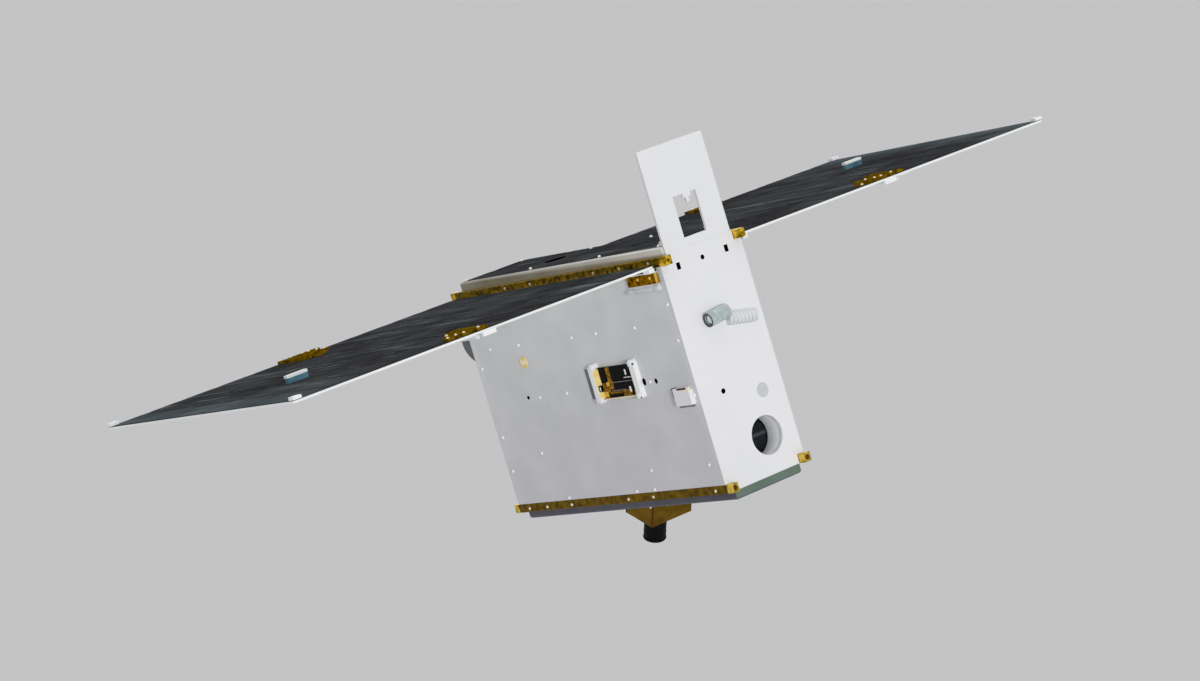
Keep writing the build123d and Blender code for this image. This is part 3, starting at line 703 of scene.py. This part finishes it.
# Access box: a dark slot along its top, a white lug and cheek at its right, a cream corner and a step
accessLow, accessHigh = corners("access_box")
accessBox = {
    "slot": (139.2, 152.8, -10.3, -8.7), "slotProud": 0.1, "lug": (157.0, -17.4), "lugRadius": 1.9,
    "lugHeight": 3.0, "cheek": 2.2, "cheekOut": 0.2, "cheekProud": 0.3, "cheekGap": 0.1, "cheekFoot": 0.6,
    "cheekHead": 6.6, "cornerWide": 3.4, "cornerLow": 5.6, "cornerHigh": 0.4, "inset": 1.0,
    "step": (129.6, 133.0, -25.4, -18.4), "stepProud": 2.2,
}
shape = bmesh.new()
addFrontBlock(shape, accessBox["slot"], accessLow.y - accessBox["slotProud"],
              accessLow.y + accessBox["inset"])
newPiece("access_slot", shape, darkGold, "bus", 0)
shape = bmesh.new()
lugX, lugZ = accessBox["lug"]
addBolt(shape, (lugX, -sideFace, lugZ), (0, -1, 0), accessBox["lugRadius"], accessBox["lugHeight"])
addFrontBlock(shape, (accessHigh.x - accessBox["cheek"], accessHigh.x + accessBox["cheekOut"],
                      accessLow.z + accessBox["cheekFoot"], accessHigh.z - accessBox["cheekHead"]),
              accessLow.y - accessBox["cheekProud"], -sideFace - accessBox["cheekGap"])
newPiece("access_lug", shape, whiteTrim, "bus")
shape = bmesh.new()
addFrontBlock(shape, (accessHigh.x - accessBox["cornerWide"], accessHigh.x,
                      accessHigh.z - accessBox["cornerLow"], accessHigh.z - accessBox["cornerHigh"]),
              accessLow.y - accessBox["cheekProud"], accessLow.y + accessBox["inset"])
newPiece("access_corner", shape, creamTrim, "bus")
shape = bmesh.new()
addFrontBlock(shape, accessBox["step"], -sideFace - accessBox["stepProud"], -sideFace)
newPiece("access_step", shape, stepAndShadowGrey, "bus")

# Dark cells on the cap, over a dark sheet, with a round port and white bolts on the edges
cap = {"border": 3.2, "gap": 1.6, "columns": 4, "rows": 2, "thick": 0.35, "clip": 5.0,
       "sheetSink": 0.2, "sheetThick": 0.15, "port": (-55.0, -1.0), "portRadius": 11.0, "portHeight": 0.6,
       "portSteps": 36, "portTaper": 0.96, "boltRadius": 1.6, "boltHeight": 2.2,
       "bolts": [(-51.3, -34.9), (60.0, -36.2), (-156.0, 34.0), (-39.5, 32.4), (52.0, 35.5),
                 (-158.0, -35.5), (150.0, -36.0)]}
shape = bmesh.new()
cellLong = (capHigh.x - capLow.x - 2 * cap["border"] + cap["gap"]) / cap["columns"]
cellWide = (capHigh.y - capLow.y - 2 * cap["border"] + cap["gap"]) / cap["rows"]
clip = cap["clip"]
for column in range(cap["columns"]):
    for row in range(cap["rows"]):
        lowX = capLow.x + cap["border"] + column * cellLong
        lowY = capLow.y + cap["border"] + row * cellWide
        highX, highY = lowX + cellLong - cap["gap"], lowY + cellWide - cap["gap"]
        outline = [(lowX + clip, lowY), (highX - clip, lowY), (highX, lowY + clip), (highX, highY - clip),
                   (highX - clip, highY), (lowX + clip, highY), (lowX, highY - clip), (lowX, lowY + clip)]
        addSheet(shape, outline, capTop, capTop + cap["thick"])
newPiece("cap_cells", shape, solarCell, "bus", 0)
shape = bmesh.new()
addBlock(shape, (capLow.x + cap["border"], capLow.y + cap["border"], capTop - cap["sheetSink"]),
         (capHigh.x - cap["border"], capHigh.y - cap["border"], capTop + cap["sheetThick"]))
newPiece("cap_base_sheet", shape, cellBase, "bus", 0)
shape = bmesh.new()
portX, portY = cap["port"]
addDisc(shape, (portX, portY, capTop), (0, 0, 1), cap["portRadius"], cap["portHeight"], cap["portSteps"],
        cap["portTaper"])
newPiece("cap_port", shape, holeBlack, "bus", 0)
placeBolts("cap_bolts", [((x, y, capTop), (0, 0, 1)) for x, y in cap["bolts"]],
           cap["boltRadius"], cap["boltHeight"], whiteTrim)

# Right end plate: black liners in its small holes and slots, painted shade for their insides
holeShade = {"reach": 4.8, "wall": 0.3, "fit": 0.02, "mouth": 0.1, "back": 0.6, "slotHalf": (2.25, 3.25),
          "round": [(0, 99.45, 2.3), (-21.0, -23.15, 2.5)], "slots": [(-29.75, 99.45), (29.75, 99.45)]}
shape = bmesh.new()
lowX, highX = endFace - holeShade["reach"], endFace - holeShade["mouth"]
for placeY, placeZ, bore in holeShade["round"]:
    radius = bore - holeShade["fit"]
    addRing(shape, (lowX, placeY, placeZ), (1, 0, 0), radius, bore - holeShade["wall"], highX - lowX)
    addDisc(shape, (lowX, placeY, placeZ), (1, 0, 0), radius, holeShade["back"])
halfWide, halfTall = holeShade["slotHalf"]
for placeY, placeZ in holeShade["slots"]:
    for sign in (-1, 1):
        edgeY = placeY + sign * (halfWide - holeShade["fit"])
        edgeZ = placeZ + sign * (halfTall - holeShade["fit"])
        addBlock(shape, (lowX, edgeY - sign * holeShade["wall"], placeZ - halfTall),
                 (highX, edgeY, placeZ + halfTall))
        addBlock(shape, (lowX, placeY - halfWide, edgeZ - sign * holeShade["wall"]),
                 (highX, placeY + halfWide, edgeZ))
    addBlock(shape, (lowX, placeY - halfWide, placeZ - halfTall),
             (lowX + holeShade["back"], placeY + halfWide, placeZ + halfTall))
newPiece("end_hole_shade", shape, holeBlack, "bus", 0)

# A strip that closes the gap between the end plate and the flap
gapStrip = {"deep": 2.2, "overlap": 0.05, "inFromFace": 0.04, "belowFlap": 0.06}
flapLow, flapHigh = corners("flap")
shape = bmesh.new()
addBlock(shape, (endFace - gapStrip["deep"], flapLow.y, plateTop - gapStrip["overlap"]),
         (endFace - gapStrip["inFromFace"], flapHigh.y, flapLow.z - gapStrip["belowFlap"]))
newPiece("flap_gap_strip", shape, whitePaint, "bus", 0)

# Rail ends: a dark rim round each lower screw hole
railEnds = {"rim": 2.5, "bore": 1.3, "thick": 0.15, "sink": 0.05}
shape = bmesh.new()
for nodeName in ("rail_bottom_front", "rail_bottom_back"):
    railLow, railHigh = corners(nodeName)
    middle = (railLow + railHigh) / 2
    for signX in (-1, 1):
        addRing(shape, (signX * (railHigh.x - railEnds["sink"]), middle.y, middle.z), (signX, 0, 0),
                railEnds["rim"], railEnds["bore"], railEnds["thick"])
newPiece("rail_end_rims", shape, darkGold, "bus", 0)

# Top rail stubs: a painted highlight, a bright patch low on the side face
stubHighlight = {"near": 161.4, "far": 168.4, "low": 104.9, "high": 107.6, "sink": 0.3, "proud": 0.12}
shape = bmesh.new()
for facing in (-1, 1):
    nearY, farY = facing * (railSide - stubHighlight["sink"]), facing * (railSide + stubHighlight["proud"])
    addBlock(shape, (-facing * stubHighlight["near"], nearY, stubHighlight["low"]),
             (-facing * stubHighlight["far"], farY, stubHighlight["high"]))
newPiece("rail_stub_highlights", shape, brightGold, "bus", 0)

# Tube sensor: a dark mouth ring, a pale core set off to one side, and faint lines round it
tubeLow, tubeHigh = corners("sensor_tube")
tube = {
    "droop": 5.8, "half": 12.0, "radius": 7.0, "wall": 1.2, "ringInset": 0.3, "ringWall": 0.7,
    "ringBack": 1.0, "ringDeep": 1.15, "diskBack": 5.0, "diskThick": 0.6, "diskFit": 0.02,
    "coreRadius": 4.3, "coreShift": 1.1, "coreBack": 4.5, "coreLong": 2.6, "steps": 32,
    "lines": [-8.5, -6.0, -1.0, 1.5, 6.5, 9.0], "lineProud": 0.05, "lineSink": 0.4, "lineWide": 0.5,
}
droop = math.radians(tube["droop"])
tubeAxis = Vector((0, -math.cos(droop), -math.sin(droop)))
tubeCentre = (tubeLow + tubeHigh) / 2
mouth = tubeCentre + tubeAxis * tube["half"]
bore = tube["radius"] - tube["wall"]
shape = bmesh.new()
addRing(shape, mouth - tubeAxis * tube["ringBack"], tubeAxis, tube["radius"] - tube["ringInset"],
        bore - tube["ringWall"], tube["ringDeep"])
addDisc(shape, mouth - tubeAxis * tube["diskBack"], tubeAxis, bore - tube["diskFit"], tube["diskThick"],
        tube["steps"])
newPiece("tube_mouth", shape, electronics, "bus", 0)
shape = bmesh.new()
addDisc(shape, mouth - tubeAxis * tube["coreBack"] + Vector((tube["coreShift"], 0, 0)), tubeAxis,
        tube["coreRadius"], tube["coreLong"], tube["steps"])
newPiece("tube_core", shape, baffleGrey, "bus", 0.1)
shape = bmesh.new()
for along in tube["lines"]:
    addRing(shape, tubeCentre + tubeAxis * along, tubeAxis, tube["radius"] + tube["lineProud"],
            tube["radius"] - tube["lineSink"], tube["lineWide"])
for vert in shape.verts:  # the lines stay inside the tube's own box
    vert.co.x = min(vert.co.x, tubeHigh.x)
newPiece("tube_lines", shape, tubeLine, "bus", 0)

# Star camera: a thin dark rim round the lens
lensRim = {"outer": 18.3, "inner": 17.4, "thick": 0.8}
lensLow, lensHigh = corners("star_camera_lens")
lensCentre = (lensLow + lensHigh) / 2
shape = bmesh.new()
addRing(shape, (lensHigh.x, lensCentre.y, lensCentre.z), (1, 0, 0), lensRim["outer"], lensRim["inner"],
        lensRim["thick"])
newPiece("star_lens_rim", shape, cameraBlack, "bus", 0)

# Faint tabs at the foot of the flap
flapFoot = {"halfWide": 3.2, "halfTall": 0.8, "thick": 0.35,
            "places": [(-33.0, 109.2), (-18.0, 109.8), (26.0, 109.6), (34.0, 109.4)]}
shape = bmesh.new()
for placeY, placeZ in flapFoot["places"]:
    addBlock(shape, (endFace, placeY - flapFoot["halfWide"], placeZ - flapFoot["halfTall"]),
             (endFace + flapFoot["thick"], placeY + flapFoot["halfWide"], placeZ + flapFoot["halfTall"]))
newPiece("flap_foot_tabs", shape, whitePaint, "bus", 0.1)

# Payload camera: dark edge strips on the gold box, bolts, rings on the lens barrel, and glass
payload = {
    "tilt": 28, "originX": -4.6, "halfLong": 18.5, "halfWide": 25.5, "reach": 17.2, "stripWide": 1.5,
    "stripThick": 0.7, "boltX": (11.0, -30.0), "boltDrop": 3.2, "boltRadius": 1.7, "boltHeight": 1.2,
    "lensSide": -4.0, "lensLength": 27.0, "lensRadius": 10.8, "ringGrip": 0.6, "ringLong": 2.0,
    "rings": [(1.0, 0.45), (9.0, 0.175), (18.0, 0.175), (24.6, 0.4)],
    "glassBack": 6.0, "glassRadius": 8.3, "glassThick": 1.4, "glassSteps": 36, "glassTaper": 0.7,
}
tilt = math.radians(payload["tilt"])
lensAxis = Vector((-math.sin(tilt), 0, -math.cos(tilt)))
slant = Vector((math.cos(tilt), 0, -math.sin(tilt)))
payloadOrigin = Vector((payload["originX"], 0, underFace))
shape = bmesh.new()
for slantSign in (-1, 1):
    foot = payloadOrigin + slant * payload["halfLong"] * slantSign - Vector((0, payload["halfWide"], 0))
    low = foot + lensAxis * payload["reach"]
    high = low - lensAxis * ((underFace - low.z) / -lensAxis.z)
    addBar(shape, low, high, payload["stripWide"], payload["stripThick"],
           slant * slantSign - Vector((0, 1, 0)))
newPiece("payload_edges", shape, darkGold, "bus", 0.1)
rightX, leftX = payload["boltX"]
boltLevel = underFace - payload["boltDrop"]
placeBolts("payload_bolts", [((x, facing * payload["halfWide"], boltLevel), (0, facing, 0))
                             for x, facing in ((rightX, -1), (leftX, -1), (rightX, 1))],
           payload["boltRadius"], payload["boltHeight"], whiteTrim)
lensFoot = payloadOrigin + lensAxis * payload["reach"] + Vector((0, payload["lensSide"], 0))
shape = bmesh.new()
for along, proud in payload["rings"]:
    addRing(shape, lensFoot + lensAxis * along, lensAxis, payload["lensRadius"] + proud,
            payload["lensRadius"] - payload["ringGrip"], payload["ringLong"])
newPiece("payload_lens_rings", shape, cameraBlack, "bus", 0.2)
shape = bmesh.new()
addDisc(shape, lensFoot + lensAxis * (payload["lensLength"] - payload["glassBack"]), lensAxis,
        payload["glassRadius"], payload["glassThick"], payload["glassSteps"], payload["glassTaper"])
newPiece("payload_glass", shape, lensGlass, "bus", 0)

# Underside: bolts round the under-plate and bushes in its handling holes
under = {"edge": 5.5, "alongX": [-150, -100, -50, 50, 100, 150], "boltRadius": 1.6, "boltHeight": 1.0,
         "handling": (140.0, 30.0), "bushOuter": 3.4, "bushInner": 1.75, "bushThick": 0.5}
placeBolts("under_bolts", [((x, facing * (underHigh.y - under["edge"]), underFace), (0, 0, -1))
                           for x in under["alongX"] for facing in (-1, 1)],
           under["boltRadius"], under["boltHeight"], whiteTrim)
shape = bmesh.new()
bushX, bushY = under["handling"]
for signX in (-1, 1):
    for signY in (-1, 1):
        addRing(shape, (signX * bushX, signY * bushY, underFace), (0, 0, -1), under["bushOuter"],
                under["bushInner"], under["bushThick"])
newPiece("handling_bushes", shape, drumMetal, "bus", 0.1)

# Thruster drum: a flange with bolts, a mouth ring, and a nozzle of narrowing rings inside
drumLow, drumHigh = corners("thruster_drum")
drum = {"height": 59.95, "flange": 33.5, "flangeInner": 30.5, "flangeThick": 2.4,
        "bolts": 12, "boltCircle": 32.2, "boltRadius": 1.0, "boltHeight": 0.8,
        "mouthOuter": 13.5, "mouthInner": 11.0, "mouthIn": 1.0, "mouthThick": 0.9,
        "nozzle": [(2.5, 9.6), (5.5, 7.6), (8.5, 5.6), (11.5, 3.8)],
        "ringOut": 1.4, "ringIn": 0.6, "ringLong": 3.0}
shape = bmesh.new()
addRing(shape, (drumHigh.x, 0, drum["height"]), (-1, 0, 0), drum["flange"], drum["flangeInner"],
        drum["flangeThick"])
newPiece("drum_flange", shape, drumMetal, "bus", 0.4)
angles = [2 * math.pi * (step + 0.5) / drum["bolts"] for step in range(drum["bolts"])]
placeBolts("drum_bolts", [((drumHigh.x - drum["flangeThick"], drum["boltCircle"] * math.cos(angle),
                            drum["height"] + drum["boltCircle"] * math.sin(angle)), (-1, 0, 0))
                          for angle in angles], drum["boltRadius"], drum["boltHeight"], whiteTrim)
shape = bmesh.new()
addRing(shape, (drumLow.x + drum["mouthIn"], 0, drum["height"]), (-1, 0, 0), drum["mouthOuter"],
        drum["mouthInner"], drum["mouthThick"])
for along, radius in drum["nozzle"]:
    addRing(shape, (drumLow.x + along, 0, drum["height"]), (1, 0, 0), radius + drum["ringOut"],
            radius - drum["ringIn"], drum["ringLong"])
newPiece("thruster_nozzle", shape, cameraBlack, "bus", 0.1)

# Left end plate: bolts and a two-step cover
leftEnd = {
    "boltRadius": 1.6, "boltHeight": 1.1, "bolts": [(-38, 96), (38, 96), (-40, 20), (40, 20), (-40, -40),
                                                    (40, -40), (-38, -100), (38, -100), (0, -100)],
    "cover": (-24.0, 24.0, -84.0, -20.0), "coverSteps": (1.6, 2.4), "inset": 4,
}
placeBolts("left_end_bolts", [((-endFace, y, z), (-1, 0, 0)) for y, z in leftEnd["bolts"]],
           leftEnd["boltRadius"], leftEnd["boltHeight"], whiteTrim)
shape = bmesh.new()
lowY, highY, lowZ, highZ = leftEnd["cover"]
firstStep, secondStep = leftEnd["coverSteps"]
inset = leftEnd["inset"]
addBlock(shape, (-endFace - firstStep, lowY, lowZ), (-endFace, highY, highZ))
addBlock(shape, (-endFace - secondStep, lowY + inset, lowZ + inset),
         (-endFace - firstStep, highY - inset, highZ - inset))
newPiece("left_end_cover", shape, greyPanel, "bus", 0.5)

# Gold pads on the seat at the back
pads = {"rows": 3, "edge": 3, "pitch": 9.2, "size": 6.6, "thick": 0.5}
backLow, backHigh = corners("hold_down_seat_back")
shape = bmesh.new()
for stepX in range(pads["rows"]):
    for stepZ in range(pads["rows"]):
        lowX = backLow.x + pads["edge"] + stepX * pads["pitch"]
        lowZ = backLow.z + pads["edge"] + stepZ * pads["pitch"]
        addFrontBlock(shape, (lowX, lowX + pads["size"], lowZ, lowZ + pads["size"]),
                      backHigh.y, backHigh.y + pads["thick"])
newPiece("back_seat_pads", shape, traceGold, "bus")
print("bus details placed")

# Wings: places are those of the front wing, x and distance out; the back wing is turned half a turn
hinge = {
    "leafTop": wingTop + 2.6, "boltRadius": 1.35, "boltHeight": 1.3,
    "outer": [(133.0, 278.0), (152.5, 291.0), (150.5, 280.5), (154.0, 274.0)],
    "inner": [(154.0, 257.5), (-139.5, 236.5), (-149.5, 239.5), (-154.0, 244.0), (-154.0, 257.5)],
    "skirt": [(-100, 258.6), (-116, 241), (-144, 217.5), (-158.3, 225), (-158.3, 258.6)],
    "skirtSink": 0.1, "skirtThick": 0.4, "skirtBolt": (-148.5, 222.8),
    "edgeStrip": [(157.3, 158.95), (258.7, 265.3), (wingTop - 2.5, wingTop - 0.6)],
}
pillar = {"capTall": 2.7, "capBelow": 0.2, "capOut": 0.4}
stiffener = {"places": [-118, -60, 0, 60, 118], "half": 1.2, "low": 3.4, "high": 2.6,
             "inner": (70, 240), "outer": (284, 452)}
root = {"bolts": [(129.2, 54.4, 96.9), (147.4, 54.4, 96.5)], "boltRadius": 1.6, "boltHeight": 0.9,
        "armHighlight": [(153.4, 156.7), (53.1, 53.4), (91.0, 100.3)],
        "edgeEnd": [(149.5, 158.9), (55.2, 61.5), (101.4, 105.3)]}


# The same block near both ends of a wing's edge, given as spans of x, distance out and z
def addPair(shape, spans, turnSign):
    (nearX, farX), (nearOut, farOut), (lowZ, highZ) = spans
    for sign in (-1, 1):
        addBlock(shape, (sign * nearX, -turnSign * nearOut, lowZ), (sign * farX, -turnSign * farOut, highZ))


for wingName, turnSign in (("front", 1), ("back", -1)):
    innerBody, outerBody = f"{wingName}_inner_wing", f"{wingName}_outer_wing"
    for panelName, body in (("outer", outerBody), ("inner", innerBody)):
        places = [((turnSign * x, -turnSign * out, hinge["leafTop"]), (0, 0, 1))
                  for x, out in hinge[panelName]]
        placeBolts(f"hinge_bolts_{panelName}_{wingName}", places, hinge["boltRadius"], hinge["boltHeight"],
                   creamTrim, body)

    shape = bmesh.new()
    addSheet(shape, [(turnSign * x, -turnSign * out) for x, out in hinge["skirt"]],
             wingTop - hinge["skirtSink"], wingTop + hinge["skirtThick"])
    newPiece(f"hinge_skirt_{wingName}", shape, hingeGold, innerBody, 0)
    placeX, placeOut = hinge["skirtBolt"]
    skirtPlace = (turnSign * placeX, -turnSign * placeOut, wingTop + hinge["skirtThick"])
    placeBolts(f"hinge_skirt_bolt_{wingName}", [(skirtPlace, (0, 0, 1))], hinge["boltRadius"],
               hinge["boltHeight"], creamTrim, innerBody)

    pillarLow, pillarHigh = corners(f"hold_down_pillar_{wingName}")
    capOut = Vector((pillar["capOut"], pillar["capOut"], 0))
    shape = bmesh.new()
    addBlock(shape, Vector((pillarLow.x, pillarLow.y, pillarHigh.z - pillar["capTall"])) - capOut,
             Vector((pillarHigh.x, pillarHigh.y, pillarHigh.z - pillar["capBelow"])) + capOut)
    newPiece(f"pillar_cap_{wingName}", shape, whiteTrim, outerBody, 0.3)

    for panelName, body in (("inner", innerBody), ("outer", outerBody)):
        near, far = stiffener[panelName]
        shape = bmesh.new()
        for placeX in stiffener["places"]:
            addBlock(shape, (placeX - stiffener["half"], -turnSign * near, wingTop - stiffener["low"]),
                     (placeX + stiffener["half"], -turnSign * far, wingTop - stiffener["high"]))
        newPiece(f"{panelName}_stiffeners_{wingName}", shape, wingFrame, body)

    places = [((sign * x, -turnSign * out, z), (0, -turnSign, 0))
              for sign in (-1, 1) for x, out, z in root["bolts"]]
    placeBolts(f"root_bracket_bolts_{wingName}", places, root["boltRadius"], root["boltHeight"],
               brightGold, "bus")
    # Bright gold sheets on the arm ends: painted highlight
    shape = bmesh.new()
    addPair(shape, root["armHighlight"], turnSign)
    newPiece(f"root_arm_highlights_{wingName}", shape, brightGold, innerBody, 0)
    shape = bmesh.new()
    addPair(shape, root["edgeEnd"], turnSign)
    newPiece(f"root_edge_ends_{wingName}", shape, whiteTrim, innerBody, 0.2)
    shape = bmesh.new()
    addPair(shape, hinge["edgeStrip"], turnSign)
    newPiece(f"hinge_edge_strips_{wingName}", shape, wingFrame, innerBody, 0)
print("wing details placed")
